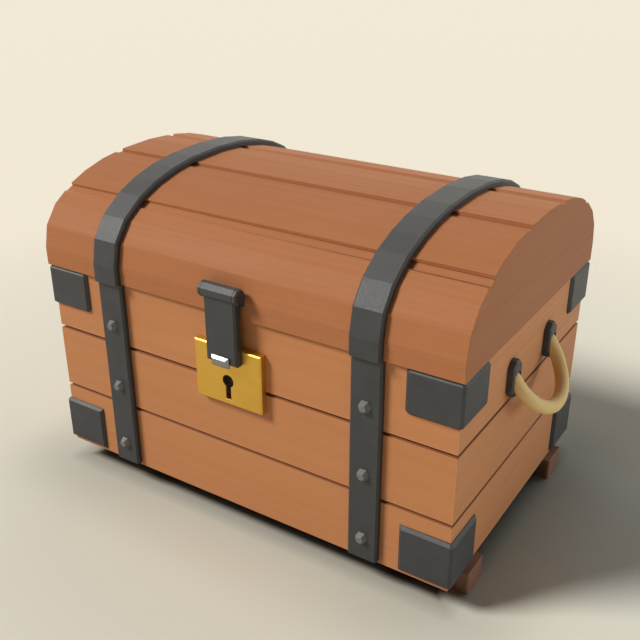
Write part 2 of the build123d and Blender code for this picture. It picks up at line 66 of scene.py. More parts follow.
# Rivets in the straps
rivet_levels = [33.2 * mm, 78.3 * mm, 123.4 * mm]
rivet_sizes = {"Head radius": 4.3 * mm, "Crown radius": 2.365 * mm, "Head height": 3.2 * mm,
               "Shank radius": 1.5 * mm, "Shank length": 12 * mm}
rivet_ease = 0.18 * mm
rivet_sides = 6
shank_sides = 16

# Screws in the hasp's leaf. The block that cuts a slot has its length as a share of the head's radius,
# and its height as a share of the slot's depth.
screw_places = [-6.5 * mm, 6.5 * mm]
screw_level = 159.8 * mm
screw_sizes = {"Head radius": 2.5 * mm, "Head height": 1.2 * mm, "Slot width": 0.8 * mm,
               "Slot depth": 0.6 * mm, "Shank radius": 1.2 * mm, "Shank length": 7.8 * mm}
screw_ease = 0.08 * mm
screw_sides = 40
cutter_length_share = 3.0
cutter_depth_share = 2.0

# Space behind the keyhole, and the thickness of the lock's walls, a little less than the solid's
case_wall = 1.45 * mm
pocket_low = Vector((-18.2, -99.9, 99)) * mm
pocket_high = Vector((18.2, -92.5, 121)) * mm

# Handles, and how many steps round the bend, sides and steps in each domed end their mesh has
bail_radius = 30 * mm
bail_leg = 1.3 * mm
bail_thickness = 8.6 * mm
bail_tilt = math.radians(36)
bail_pivot = Vector((152.1, 0, 123.8)) * mm
bail_steps = 64
bail_sides = 32
bail_end_steps = 7

# How far each kind of piece has its edges rounded, and in how many steps
board_ease = 0.45 * mm
foot_ease = 0.6 * mm
iron_ease = 0.3 * mm
fine_ease = 0.2 * mm
brass_ease = 0.35 * mm
rounding_steps = 2

# Where the hasp's barrel parts into knuckles, which stay unrounded so that they read as one bar
barrel_parting = (11.4 * mm, 11.9 * mm)

# Which edges count as corners, which faces as flats, outer faces, groove flanks and mitres, and how near
# two points, or two faces in one plane, are to count as one
corner_angle = math.radians(28)
facet_angle = math.radians(5)
facet_area = 30 * mm * mm
outer_share = 0.75
groove_share = 0.08
mitre_shares = (0.5, 0.9)
short_edge = 3 * mm
blend_share = 0.8
merge_distance = 0.002 * mm
level_distance = 0.002 * mm
level_share = 0.99999
level_angle = math.radians(0.6)

# Where the middle of each board's growth rings lies: how far in, along and aside, and the board's own tone
heart_in = (22 * mm, 60 * mm)
heart_along = (-1.5, 1.5)
heart_aside = (-14 * mm, 14 * mm)
tones = (-0.06, 0.12)

# Wood: how each part of its figure is stretched along the grain, how fine it is and how much it darkens
ring_stretch = (0.05, 1, 1)
ring_grain = {"Scale": 98, "Distortion": 5.0, "Detail": 2.5, "Detail Scale": 0.55, "Detail Roughness": 0.5}
ring_sharpness = 1.8
ring_depth = 0.12
streak_stretch = (0.03, 1, 1)
streak_grain = {"scale": 260, "detail": 4.0, "roughness": 0.6}
streak_depths = (0.0, 0.10)
cloud_stretch = (0.35, 1, 1)
cloud_grain = {"scale": 22, "detail": 2.0}
cloud_depths = (-0.05, 0.10)
pore_stretch = (0.045, 1, 1)
pore_grain = {"scale": 1500, "detail": 2.0, "roughness": 0.5}
pore_range = (0.64, 0.74)
pore_depths = (0.0, 0.10)
streak_relief = 0.5
pore_relief = 0.35
wood_dents = (0.08 * mm, 0.4)
wood_roughness = (0.54, 0.68)
worn_wood_gain = 1.2
worn_wood_lift = 0.015
lid_gloss = 0.12
# How much of the groove's stain and painted shade the staves get, and how much painted light the front step
# gets
lid_stain_and_shade_share = 0.12
step_painted_light_share = 0.95

# Wear: how far it reaches from an edge, and from which turn of the surface to which it grows
wood_wear = 0.8 * mm
metal_wear = 0.5 * mm
wear_samples = 6
wear_turns = (0.995, 0.86)

# The part of a noise's values that is used, and the part that makes worn patches
noise_range = (0.3, 0.7)
patch_range = (0.35, 0.6)

# Iron: its mottled scale, its grit and its hammer marks
mottle_grain = {"scale": 110, "detail": 5.0, "roughness": 0.6}
mottle_depths = (0.0, 0.16)
grit_grain = {"scale": 900, "detail": 3.0, "roughness": 0.6}
grit_relief = 0.1
hammer_marks = {"Scale": 130, "Smoothness": 1.0}
hammer_relief = 0.5
iron_dents = (0.2 * mm, 0.1)
iron_wear_shares = (0.2, 0.7)
iron_roughness = 0.55
rivet_roughness = 0.4
iron_roughness_spread = (-0.04, 0.06)

# Brass and steel: their brush lines and their tarnish
brass_brush = (1, 1, 0.03)
brass_roughness = 0.43
steel_brush = (0.03, 1, 1)
steel_roughness = 0.28
brush_grain = {"scale": 2600, "detail": 2.0}
brush_roughness_spread = (-0.04, 0.04)
brush_dents = (0.02 * mm, 0.3)
tarnish_grain = {"scale": 70, "detail": 4.0, "roughness": 0.6}
tarnish_range = (0.42, 0.75)
tarnish_depths = (0.0, 0.45)
tarnish_left = (1.0, 0.1)
tarnish_roughness = 0.08

# Cane: its fibres and its darker marks
fibre_stretch = (0.04, 1, 1)
fibre_grain = {"scale": 900}
fibre_range = (0.35, 0.65)
fibre_depths = (0.0, 0.3)
mark_stretch = (0.3, 1, 1)
mark_grain = {"scale": 90}
mark_range = (0.5, 0.8)
mark_depths = (0.0, 0.35)
cane_dents = (0.06 * mm, 0.4)
cane_roughness = (0.45, 0.58)
cane_gloss = 0.35

# Colours, linear
plank_light = (0.520, 0.214, 0.084, 1)
plank_dark = (0.390, 0.145, 0.053, 1)
lid_light = (0.425, 0.167, 0.069, 1)
lid_dark = (0.320, 0.113, 0.045, 1)
# End planks: the plank colours painted lighter and less saturated, as painted light on the shaded ends
end_light_painted_lighter = (0.545, 0.237, 0.100, 1)
end_dark_painted_lighter = (0.412, 0.162, 0.063, 1)
# Lid end boards and stave ends: the lid colours painted darker, as painted shade
lid_end_light_painted_darker = (0.365, 0.156, 0.076, 1)
lid_end_dark_painted_darker = (0.280, 0.108, 0.051, 1)
foot_light = (0.230, 0.112, 0.070, 1)
foot_dark = (0.140, 0.063, 0.040, 1)
# Groove flanks painted dark brown: partly a stain, partly painted shade
groove_stain_and_shade = (0.200, 0.066, 0.022, 1)
# Painted light: the paler colour of the step at the front joint, lifting the shade on it
step_painted_light = (0.48, 0.200, 0.086, 1)
# Painted shade: a neutral grey in place of wood behind the keyhole, for the shade seen through it
pocket_painted_shade = (0.42, 0.41, 0.41, 1)
iron_colour = (0.0285, 0.0292, 0.0318, 1)
iron_worn = (0.090, 0.091, 0.092, 1)
rivet_colour = (0.14, 0.14, 0.139, 1)
rivet_worn = (0.26, 0.26, 0.258, 1)
brass_colour = (0.68, 0.41, 0.075, 1)
brass_dull = (0.55, 0.315, 0.055, 1)
steel_colour = (0.28, 0.285, 0.295, 1)
steel_dull = (0.2, 0.202, 0.21, 1)
cane_light = (0.82, 0.575, 0.24, 1)
cane_dark = (0.68, 0.46, 0.18, 1)
# The floor near the chest painted darker, as painted shade; the far colour is the plain floor
floor_near_painted_shade = (0.728, 0.706, 0.600, 1)
floor_far = (0.96, 0.88, 0.735, 1)
# A painted cool cast on the floor beside the right end, offsetting the warm light of the end wall
floor_painted_cool_cast = (0.597, 0.664, 0.624, 1)
# Painted shade: the near black the floor is painted under the chest
floor_painted_shade_under = (0.016, 0.014, 0.012, 1)
backdrop = (0.86, 0.79, 0.66, 1)
room_light = (0.047, 0.049, 0.050, 1)

# Floor: its reach and its gloss, and how far out its near colour, darkened as painted shade about the chest,
# gives way to its far one
floor_reach = 14
floor_roughness = 0.9
floor_gloss = 0.05
painted_halo_fade = (0.20, 0.62)

# The floor's painted shade about the chest's outline, in three parts: from where to where each grows, and
# its least and greatest share
steep_shade = (-11.5 * mm, -5.5 * mm, 0.03, 0.53)
gentle_shade = (-6 * mm, 8 * mm, 0.0, 0.27)
wide_shade = (4 * mm, 70 * mm, 0.0, 0.2)

# Where the floor is painted cooler, to offset the warm light that the right end throws on it
cool_cast_middle = 25 * mm
cool_cast_inner = (138 * mm, 160 * mm)
cool_cast_outer = (300 * mm, 180 * mm)
cool_cast_aside = (108 * mm, 20 * mm)

# Light: the key from the front left, a broad glow from behind and a little fill from the right
key_from = (-0.571, -0.483, 0.664)
key_strength = 3.35
key_colour = (1.0, 0.985, 0.96)
key_breadth = math.radians(18)
glow_from = (-0.165, 0.925, 0.340)
glow_strength = 1.2
glow_colour = (0.94, 0.985, 1.0)
glow_breadth = math.radians(116)
fill_from = (0.95, 0.30, 0.06)
fill_strength = 12.5
fill_colour = (0.90, 0.97, 1.0)
fill_size = 1.0
lamp_distance = 1.8
lamp_aim = Vector((0, 0, 0.1))
backdrop_strength = 1.0

# Camera
camera_place = (0.301391, -0.471348, 0.376491)
camera_pitch = math.radians(64.536)
camera_heading = math.radians(32.677)
lens_length = 50
sensor_width = 36


# Camera, light and floor

def look_through_camera():
    """The viewing angle of the photograph."""
    lens = bpy.data.cameras.new("camera")
    lens.lens = lens_length
    lens.sensor_width = sensor_width
    camera = bpy.data.objects.new("camera", lens)
    camera.location = camera_place
    camera.rotation_euler = (camera_pitch, 0, camera_heading)
    bpy.context.scene.collection.objects.link(camera)
    bpy.context.scene.camera = camera


def stand_lamp(name, kind, direction, strength, colour):
    """A lamp that stands in one direction from the chest and faces it."""
    lamp = bpy.data.lights.new(name, kind)
    lamp.energy = strength
    lamp.color = colour
    stand = bpy.data.objects.new(name, lamp)
    direction = Vector(direction).normalized()
    stand.location = lamp_aim + direction * lamp_distance
    stand.rotation_euler = direction.to_track_quat("Z", "Y").to_euler()
    bpy.context.scene.collection.objects.link(stand)
    return lamp


def light_the_room():
    """Three lamps and a dim room, which the camera and reflections see as a pale backdrop."""
    bpy.context.scene.view_settings.view_transform = "Standard"
    world = bpy.data.worlds.new("room")
    bpy.context.scene.world = world
    world.use_nodes = True
    tree = world.node_tree
    rays = add(tree, "ShaderNodeLightPath").outputs
    seen = combine(tree, "MAXIMUM", rays["Is Camera Ray"], rays["Is Glossy Ray"])
    seen = combine(tree, "MAXIMUM", seen, rays["Is Transmission Ray"])
    sky = tree.nodes["Background"].inputs
    tree.links.new(mixed(tree, seen, room_light, backdrop), sky["Color"])
    sky["Strength"].default_value = backdrop_strength
    stand_lamp("key", "SUN", key_from, key_strength, key_colour).angle = key_breadth
    stand_lamp("glow", "SUN", glow_from, glow_strength, glow_colour).angle = glow_breadth
    stand_lamp("fill", "AREA", fill_from, fill_strength, fill_colour).size = fill_size


def lay_floor():
    """A pale floor that keeps the chest's shadow, with painted shade close to and under the chest and a
    painted cooler tint beside its right end.
    """
    outline = [(x * floor_reach, y * floor_reach, 0) for x, y in ((-1, -1), (1, -1), (1, 1), (-1, 1))]
    mesh = bpy.data.meshes.new("floor")
    mesh.from_pydata(outline, [], [(0, 1, 2, 3)])
    floor = bpy.data.objects.new("floor", mesh)
    bpy.context.scene.collection.objects.link(floor)
    material, tree, skin = new_finish("floor_paper", floor_roughness, specular=floor_gloss)
    place = object_place(tree)
    reach = add(tree, "ShaderNodeVectorMath", {0: place}, operation="LENGTH").outputs["Value"]
    # Painted shade: the floor darker near the chest, paler further out
    paper = mixed(tree, spread(tree, reach, *painted_halo_fade), floor_near_painted_shade, floor_far)
    # Painted cool cast beside the right end, offsetting the end wall's warm light
    paper = mixed(tree, painted_cool_cast_share(tree, place), paper, floor_painted_cool_cast)
    # Painted shade under the chest and about its outline
    tree.links.new(mixed(tree, painted_shade_share(tree, place), floor_painted_shade_under, paper), skin.inputs["Base Color"])
    floor.data.materials.append(material)
    keep_fill_off(floor)


def painted_shade_share(tree, place):
    """The floor's painted shade: 0 under the chest, where hardly any light comes and the floor is painted
    near black, and 1 a little way out from its outline.
    """
    folded = add(tree, "ShaderNodeVectorMath", {0: place}, operation="ABSOLUTE").outputs["Vector"]
    reach = {0: folded, 1: (half_length, half_depth, 0)}
    beyond = add(tree, "ShaderNodeVectorMath", reach, operation="SUBTRACT").outputs["Vector"]
    sides = add(tree, "ShaderNodeSeparateXYZ", {"Vector": beyond}).outputs
    inside = combine(tree, "MINIMUM", combine(tree, "MAXIMUM", sides["X"], sides["Y"]), 0)
    positive = add(tree, "ShaderNodeVectorMath", {0: beyond, 1: (0, 0, 0)}, operation="MAXIMUM")
    away = {0: positive.outputs["Vector"]}
    away = add(tree, "ShaderNodeVectorMath", away, operation="LENGTH").outputs["Value"]
    outside = combine(tree, "ADD", inside, away)
    steep = spread(tree, outside, *steep_shade)
    gentle = spread(tree, outside, *gentle_shade)
    wide = spread(tree, outside, *wide_shade, interpolation_type="SMOOTHSTEP")
    return combine(tree, "ADD", combine(tree, "ADD", steep, gentle), wide)


def painted_cool_cast_share(tree, place):
    """1 on the floor beside the right end, painted cooler there to offset the warm light the wood throws,
    and 0 away from it.
    """
    sides = add(tree, "ShaderNodeSeparateXYZ", {"Vector": place}).outputs
    aside = combine(tree, "ABSOLUTE", combine(tree, "SUBTRACT", sides["Y"], cool_cast_middle), 0)
    inner = spread(tree, sides["X"], *cool_cast_inner, interpolation_type="SMOOTHSTEP")
    outer = spread(tree, sides["X"], *cool_cast_outer, interpolation_type="SMOOTHSTEP")
    across = spread(tree, aside, *cool_cast_aside, interpolation_type="SMOOTHSTEP")
    return combine(tree, "MULTIPLY", combine(tree, "MULTIPLY", inner, outer), across)


def keep_fill_off(floor):
    """The fill lights the chest and leaves the floor's shadow deep."""
    unlit = bpy.data.collections.new("without_fill")
    unlit.objects.link(floor)
    unlit.collection_objects[0].light_linking.link_state = "EXCLUDE"
    bpy.data.objects["fill"].light_linking.receiver_collection = unlit


# Shader building

def add(tree, kind, inputs=None, **settings):
    """A node with its settings, and a value or a link for each named input."""
    made = tree.nodes.new(kind)
    for name, value in settings.items():
        setattr(made, name, value)
    for name, value in (inputs or {}).items():
        fill_socket(tree, made.inputs[name], value)
    return made


def fill_socket(tree, socket, value):
    if isinstance(value, bpy.types.NodeSocket):
        tree.links.new(value, socket)
    else:
        socket.default_value = value


def new_finish(name, roughness, metallic=0.0, specular=0.5):
    """An empty material with one surface shader: the material, its tree and the shader."""
    material = bpy.data.materials.new(name)
    material.use_nodes = True
    tree = material.node_tree
    skin = tree.nodes["Principled BSDF"]
    skin.inputs["Roughness"].default_value = roughness
    skin.inputs["Metallic"].default_value = metallic
    skin.inputs["Specular IOR Level"].default_value = specular
    return material, tree, skin


def spread(tree, value, low, high, new_low=0.0, new_high=1.0, **settings):
    """The value with its range moved to a new one."""
    sockets = {"Value": value, "From Min": low, "From Max": high, "To Min": new_low, "To Max": new_high}
    return add(tree, "ShaderNodeMapRange", sockets, **settings).outputs["Result"]


def combine(tree, operation, first, second):
    return add(tree, "ShaderNodeMath", {0: first, 1: second}, operation=operation).outputs["Value"]


def mixed(tree, share, first, second):
    """Two colours mixed by a share."""
    node = add(tree, "ShaderNodeMix", data_type="RGBA")
    ends = {"Factor": share, "A": first, "B": second}
    for socket in node.inputs:
        if socket.enabled and socket.name in ends:
            fill_socket(tree, socket, ends[socket.name])
    return next(socket for socket in node.outputs if socket.enabled)


def stretched(tree, vector, scale):
    return add(tree, "ShaderNodeMapping", {"Vector": vector, "Scale": scale}).outputs["Vector"]


def stored(tree, name, output):
    return add(tree, "ShaderNodeAttribute", attribute_name=name).outputs[output]


def object_place(tree):
    return add(tree, "ShaderNodeTexCoord").outputs["Object"]


def speckle(tree, vector, scale, detail=3.0, roughness=0.55):
    sockets = {"Vector": vector, "Scale": scale, "Detail": detail, "Roughness": roughness}
    return add(tree, "ShaderNodeTexNoise", sockets).outputs["Fac"]


def worn_edges(tree, radius):
    """1 on an edge, 0 on the flats."""
    eased = add(tree, "ShaderNodeBevel", {"Radius": radius}, samples=wear_samples).outputs["Normal"]
    plain = add(tree, "ShaderNodeNewGeometry").outputs["Normal"]
    facing = add(tree, "ShaderNodeVectorMath", {0: eased, 1: plain}, operation="DOT_PRODUCT")
    return spread(tree, facing.outputs["Value"], *wear_turns)


def dents(tree, skin, height, distance, strength):
    """Shallow relief from a height."""
    bump = add(tree, "ShaderNodeBump", {"Height": height, "Distance": distance, "Strength": strength})
    tree.links.new(bump.outputs["Normal"], skin.inputs["Normal"])


# Finishes

def grain(tree, turn):
    """The parts of the figure that follow a board's own tree: rings, streaks, clouds and pores."""
    heart = stored(tree, "heart", "Vector")
    local = add(tree, "ShaderNodeVectorMath", {0: object_place(tree), 1: heart}, operation="SUBTRACT")
    turned = {"Vector": local.outputs["Vector"], "Rotation": turn}
    along = add(tree, "ShaderNodeMapping", turned).outputs["Vector"]
    wave = {"Vector": stretched(tree, along, ring_stretch), **ring_grain}
    rings = add(tree, "ShaderNodeTexWave", wave, wave_type="RINGS", rings_direction="X").outputs["Fac"]
    streaks = speckle(tree, stretched(tree, along, streak_stretch), **streak_grain)
    clouds = speckle(tree, stretched(tree, along, cloud_stretch), **cloud_grain)
    pores = speckle(tree, stretched(tree, along, pore_stretch), **pore_grain)
    return rings, streaks, clouds, pores


def darkness(tree, rings, streaks, clouds, pores):
    """How far the wood is from its light colour to its dark one."""
    share = combine(tree, "MULTIPLY", combine(tree, "POWER", rings, ring_sharpness), ring_depth)
    share = combine(tree, "ADD", share, spread(tree, streaks, *noise_range, *streak_depths))
    share = combine(tree, "ADD", share, spread(tree, clouds, *noise_range, *cloud_depths))
    share = combine(tree, "ADD", share, stored(tree, "tone", "Fac"))
    return combine(tree, "ADD", share, spread(tree, pores, *pore_range, *pore_depths))


def board_wood(name, light, dark, turn=(0, 0, 0), stain_and_painted_light=groove_stain_and_shade, stain_and_light_share=0.8, wear_share=0.3,
               specular=0.3):
    """Planed, oiled wood: faint growth rings round each board's own heart, fine streaks and pores."""
    material, tree, skin = new_finish(name, wood_roughness[0], specular=specular)
    rings, streaks, clouds, pores = grain(tree, turn)
    colour = mixed(tree, darkness(tree, rings, streaks, clouds, pores), light, dark)
    rubbed = spread(tree, clouds, *patch_range, 0.0, wear_share)
    wear = combine(tree, "MULTIPLY", worn_edges(tree, wood_wear), rubbed)
    pale = [min(1.0, channel * worn_wood_gain + worn_wood_lift) for channel in light[:3]]
    colour = mixed(tree, wear, colour, (*pale, 1))
    # Groove flanks painted dark, partly a stain and partly painted shade; on the front step a painted light
    # instead
    stain_and_light_mask = combine(tree, "MULTIPLY", stored(tree, "groove", "Fac"), stain_and_light_share)
    colour = mixed(tree, stain_and_light_mask, colour, stain_and_painted_light)
    # The pocket's faces painted grey, as painted shade behind the keyhole
    colour = mixed(tree, stored(tree, "pocket", "Fac"), colour, pocket_painted_shade)
    tree.links.new(colour, skin.inputs["Base Color"])
    tree.links.new(spread(tree, streaks, *noise_range, *wood_roughness), skin.inputs["Roughness"])
    relief = combine(tree, "MULTIPLY", streaks, streak_relief)
    relief = combine(tree, "ADD", relief, combine(tree, "MULTIPLY", pores, pore_relief))
    dents(tree, skin, relief, *wood_dents)
    return material


def dark_iron(name, colour, worn, roughness):
    """Blackened iron: a faintly mottled scale, shallow hammer marks and edges rubbed grey."""
    material, tree, skin = new_finish(name, roughness)
    place = object_place(tree)
    mottle = speckle(tree, place, **mottle_grain)
    grit = speckle(tree, place, **grit_grain)
    sockets = {"Vector": place, **hammer_marks}
    hammer = add(tree, "ShaderNodeTexVoronoi", sockets, feature="SMOOTH_F1").outputs["Distance"]
    shade = mixed(tree, spread(tree, mottle, *noise_range, *mottle_depths), colour, worn)
    rubbed = spread(tree, mottle, *patch_range, *iron_wear_shares)
    wear = combine(tree, "MULTIPLY", worn_edges(tree, metal_wear), rubbed)
    tree.links.new(mixed(tree, wear, shade, worn), skin.inputs["Base Color"])
    low, high = (roughness + change for change in iron_roughness_spread)
    tree.links.new(spread(tree, grit, *noise_range, low, high), skin.inputs["Roughness"])
    relief = combine(tree, "MULTIPLY", hammer, hammer_relief)
    relief = combine(tree, "ADD", relief, combine(tree, "MULTIPLY", grit, grit_relief))
    dents(tree, skin, relief, *iron_dents)
    return material


def satin_metal(name, bright, dull, roughness, brush):
    """Brass or steel: fine brush lines and a soft tarnish in clouds, rubbed off the edges."""
    material, tree, skin = new_finish(name, roughness, metallic=1.0)
    place = object_place(tree)
    clouds = speckle(tree, place, **tarnish_grain)
    lines = speckle(tree, stretched(tree, place, brush), **brush_grain)
    tarnish = spread(tree, clouds, *tarnish_range, *tarnish_depths)
    left = spread(tree, worn_edges(tree, metal_wear), 0, 1, *tarnish_left)
    tarnish = combine(tree, "MULTIPLY", tarnish, left)
    tree.links.new(mixed(tree, tarnish, bright, dull), skin.inputs["Base Color"])
    brushed = spread(tree, lines, *noise_range, *brush_roughness_spread)
    clouded = spread(tree, clouds, *noise_range, roughness, roughness + tarnish_roughness)
    tree.links.new(combine(tree, "ADD", brushed, clouded), skin.inputs["Roughness"])
    dents(tree, skin, lines, *brush_dents)
    return material


def bent_cane():
    """Tan cane: fine fibres that follow the bend, with a few darker marks."""
    material, tree, skin = new_finish("bent_cane", cane_roughness[0], specular=cane_gloss)
    way = stored(tree, "fibre", "Vector")
    fibres = speckle(tree, stretched(tree, way, fibre_stretch), **fibre_grain)
    marks = speckle(tree, stretched(tree, way, mark_stretch), **mark_grain)
    share = spread(tree, fibres, *fibre_range, *fibre_depths)
    share = combine(tree, "ADD", share, spread(tree, marks, *mark_range, *mark_depths))
    tree.links.new(mixed(tree, share, cane_light, cane_dark), skin.inputs["Base Color"])
    tree.links.new(spread(tree, fibres, *noise_range, *cane_roughness), skin.inputs["Roughness"])
    dents(tree, skin, fibres, *cane_dents)
    return material


# Pieces worked over from the solids

def merged_copy(node):
    """The node's shape in mesh code, as one closed surface with its flats made whole again."""
    work = bmesh.new()
    work.from_mesh(nodes[node].data)
    bmesh.ops.remove_doubles(work, verts=work.verts, dist=merge_distance)
    bmesh.ops.dissolve_limit(work, angle_limit=level_angle, verts=work.verts, edges=work.edges)
    work.faces.index_update()
    return work


def smooth_into(mesh, work):
    """The mesh code's shape, smooth but for its marked edges, put in a mesh."""
    for face in work.faces:
        face.smooth = True
    work.to_mesh(mesh)
    work.free()


def new_piece(name, work):
    """A piece from mesh code."""
    mesh = bpy.data.meshes.new(name)
    smooth_into(mesh, work)
    piece = bpy.data.objects.new(name, mesh)
    bpy.context.scene.collection.objects.link(piece)
    return piece


def mark_edges(work, eased, sharp):
    """Gives the eased edges to the rounding and keeps the other sharp ones crisp."""
    weights = work.edges.layers.float.new("bevel_weight_edge")
    for edge in work.edges:
        if len(edge.link_faces) != 2:
            continue
        if eased(edge):
            edge[weights] = 1.0
        elif sharp(edge):
            edge.smooth = False


def is_eased(edge):
    """A corner to be rounded: any but those where the barrel parts."""
    low, high = barrel_parting
    reach = [abs(vert.co.x) for vert in edge.verts]
    return is_corner(edge) and not (low < min(reach) and max(reach) < high)


def is_corner(edge):
    """A real corner, or a shallow one between large flats; the steps of round parts are neither."""
    angle = edge.calc_face_angle(0)
    flats = min(face.calc_area() for face in edge.link_faces) > facet_area
    return angle > corner_angle or (flats and angle > facet_angle)


def bake_modifiers(piece):
    """The piece's modifiers made part of its mesh."""
    view = bpy.context.evaluated_depsgraph_get()
    finished = bpy.data.meshes.new_from_object(piece.evaluated_get(view))
    piece.modifiers.clear()
    piece.data = finished


def round_edges(piece, width):
    """Rounds the weighted edges and keeps every large flat truly flat in the light."""
    large = [face for face in piece.data.polygons if face.area > facet_area]
    flats = [(face.normal.copy(), face.center.copy()) for face in large]
    rounding = piece.modifiers.new("rounding", "BEVEL")
    rounding.width = width
    rounding.segments = rounding_steps
    rounding.limit_method = "WEIGHT"
    rounding.harden_normals = True
    piece.modifiers.new("tidying", "WELD").merge_threshold = merge_distance
    bake_modifiers(piece)
    flatten_shading(piece.data, flats)


def flatten_shading(mesh, flats):
    """Gives flat faces their own normal at every corner, and the rounding beside them the same one."""
    flat_faces = [face for face in mesh.polygons if lies_on_flat(face, flats)]
    flat_set = {face.index for face in flat_faces}
    beside = {}
    for face in flat_faces:
        for loop in face.loop_indices:
            beside[mesh.loops[loop].edge_index] = face.normal
    normals = [corner.vector.copy() for corner in mesh.corner_normals]
    for face in mesh.polygons:
        loops = list(face.loop_indices)
        for count, loop in enumerate(loops):
            edges = (mesh.loops[loops[count - 1]].edge_index, mesh.loops[loop].edge_index)
            near = [beside[edge] for edge in edges if edge in beside]
            near = [normal for normal in near if normal.dot(face.normal) > blend_share]
            if face.index in flat_set:
                normals[loop] = face.normal
            elif near:
                normals[loop] = sum(near, Vector()).normalized()
    mesh.normals_split_custom_set(normals)


def lies_on_flat(face, flats):
    """True for a face that lies in the plane of one of the flats and faces the same way."""
    return any(face.normal.dot(normal) > level_share
               and abs((face.center - centre).dot(normal)) < level_distance for normal, centre in flats)


def dress(piece, material, node):
    """Gives a piece its finish and puts it in the place of its solid, on the same body."""
    piece.data.materials.clear()
    piece.data.materials.append(material)
    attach(piece, body_of_node(node))
    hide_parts(node)


def body_of_node(node):
    bodies = frame["record"]["behaviour"]["bodies"]
    return next(body for body, names in bodies.items() if node in names)


def fitting(node, material, width):
    """A metal node's solid again, with rounded edges and its own finish."""
    work = merged_copy(node)
    mark_edges(work, is_eased if node in ("hasp_arm", "hasp_leaf") else is_corner, is_corner)
    piece = new_piece(node + "_finished", work)
    round_edges(piece, width)
    dress(piece, material, node)
    return piece


# Boards

def outward_share(face, outward):
    """How far a face looks outwards: along one direction, or away from the lid's middle line."""
    if outward is None:
        spoke = face.calc_center_median() - lid_axis
        spoke.x = 0
        outward = spoke.normalized()
    return face.normal.dot(outward)


def mark_board(work, along, outward):
    """Marks the outer edges for rounding, the groove faces that are stained and painted with shade (on the
    front step, with light), and the faces that lie in the pocket.
    """
    outer = {face.index for face in work.faces if outward_share(face, outward) > outer_share}
    stain_and_painted_light = work.faces.layers.float.new("groove")
    pocket = work.faces.layers.float.new("pocket")

    def eased(edge):
        others = [face for face in edge.link_faces if face.index not in outer]
        if len(others) > 1 or edge.calc_length() < short_edge or not is_corner(edge):
            return False
        return not others or not is_mitre(others[0], along)

    for edge in work.edges:
        faces = [face for face in edge.link_faces if face.index not in outer]
        if len(edge.link_faces) == 2 and len(faces) == 1 and is_groove(faces[0], along, outward):
            faces[0][stain_and_painted_light] = 1.0
    for face in work.faces:
        if in_pocket(face.calc_center_median()):
            face[pocket] = 1.0
    mark_edges(work, eased, is_corner)


def is_mitre(face, along):
    low, high = mitre_shares
    return low < abs(face.normal.dot(Vector(along))) < high


def is_groove(face, along, outward):
    """True for a sloped flank of a groove, and on the lid for the steep step at a stave's front."""
    if outward is None and face.normal.dot(lid_rearward(face)) > 0:
        return False
    return outward_share(face, outward) > groove_share and abs(face.normal.dot(Vector(along))) < groove_share


def lid_rearward(face):
    """The way over the lid towards the back, at a face."""
    spoke = face.calc_center_median() - lid_axis
    return Vector((0, spoke.z, -spoke.y))


def in_pocket(place):
    return all(low < value < high for low, value, high in zip(pocket_low, place, pocket_high))


def board(node, material, along, outward, inward, width=board_ease):
    """A plank, stave or block with rounded outer edges and the growth rings of its own tree."""
    work = merged_copy(node)
    if outward == "all":
        mark_edges(work, is_corner, is_corner)
    else:
        mark_board(work, along, outward)
    piece = new_piece(node + "_finished", work)
    round_edges(piece, width)
    dress(piece, material, node)
    tree = grown_tree(node, Vector(along), Vector(inward))
    set_trees(piece, [tree] * len(piece.data.polygons))
    return piece, tree


def grown_tree(node, along, inward):
    """Where the board's growth rings have their centre, and the board's own tone."""
    low, high = (Vector(corner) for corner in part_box(node))
    heart = (low + high) / 2 + inward * random.uniform(*heart_in)
    heart += along * random.uniform(*heart_along)
    heart += along.cross(inward) * random.uniform(*heart_aside)
    return heart, random.uniform(*tones)


def set_trees(piece, trees):
    """Keeps on every face the heart and the tone of the tree that it shows."""
    heart = piece.data.attributes.new("heart", "FLOAT_VECTOR", "FACE")
    heart.data.foreach_set("vector", [value for place, tone in trees for value in place])
    tone = piece.data.attributes.new("tone", "FLOAT", "FACE")
    tone.data.foreach_set("value", [tone for place, tone in trees])


def cap_stave(piece, own_tree, end_trees, end_wood):
    """The stave's two ends in the wood of the lid's end boards, which they are level with."""
    piece.data.materials.append(end_wood)
    trees = []
    for face in piece.data.polygons:
        side = round(face.normal.x, 2)
        if abs(side) == 1:
            face.material_index = 1
        trees.append(end_trees.get(side, own_tree))
    for name in ("heart", "tone"):
        piece.data.attributes.remove(piece.data.attributes[name])
    set_trees(piece, trees)


def make_body_boards():
    """The planks of the four walls, the floor board and the corner posts."""
    long_wood = board_wood("plank_wood", plank_light, plank_dark)
    cross_wood = board_wood("end_plank_wood_painted_lighter", end_light_painted_lighter, end_dark_painted_lighter, turn=(0, 0, -math.pi / 2))
    post_wood = board_wood("post_wood", plank_light, plank_dark, turn=(0, math.pi / 2, 0))
    ahead, aside, above = Vector((0, -1, 0)), Vector((1, 0, 0)), Vector((0, 0, 1))
    for course in courses:
        board(f"front_plank_{course}", long_wood, aside, ahead, -ahead)
        board(f"back_plank_{course}", long_wood, aside, -ahead, ahead)
        board(f"left_plank_{course}", cross_wood, ahead, -aside, aside)
        board(f"right_plank_{course}", cross_wood, ahead, aside, -aside)
    board("floor_board", long_wood, aside, -above, above)
    for corner in corners:
        board(f"corner_post_{corner}", post_wood, above, "all", aside)


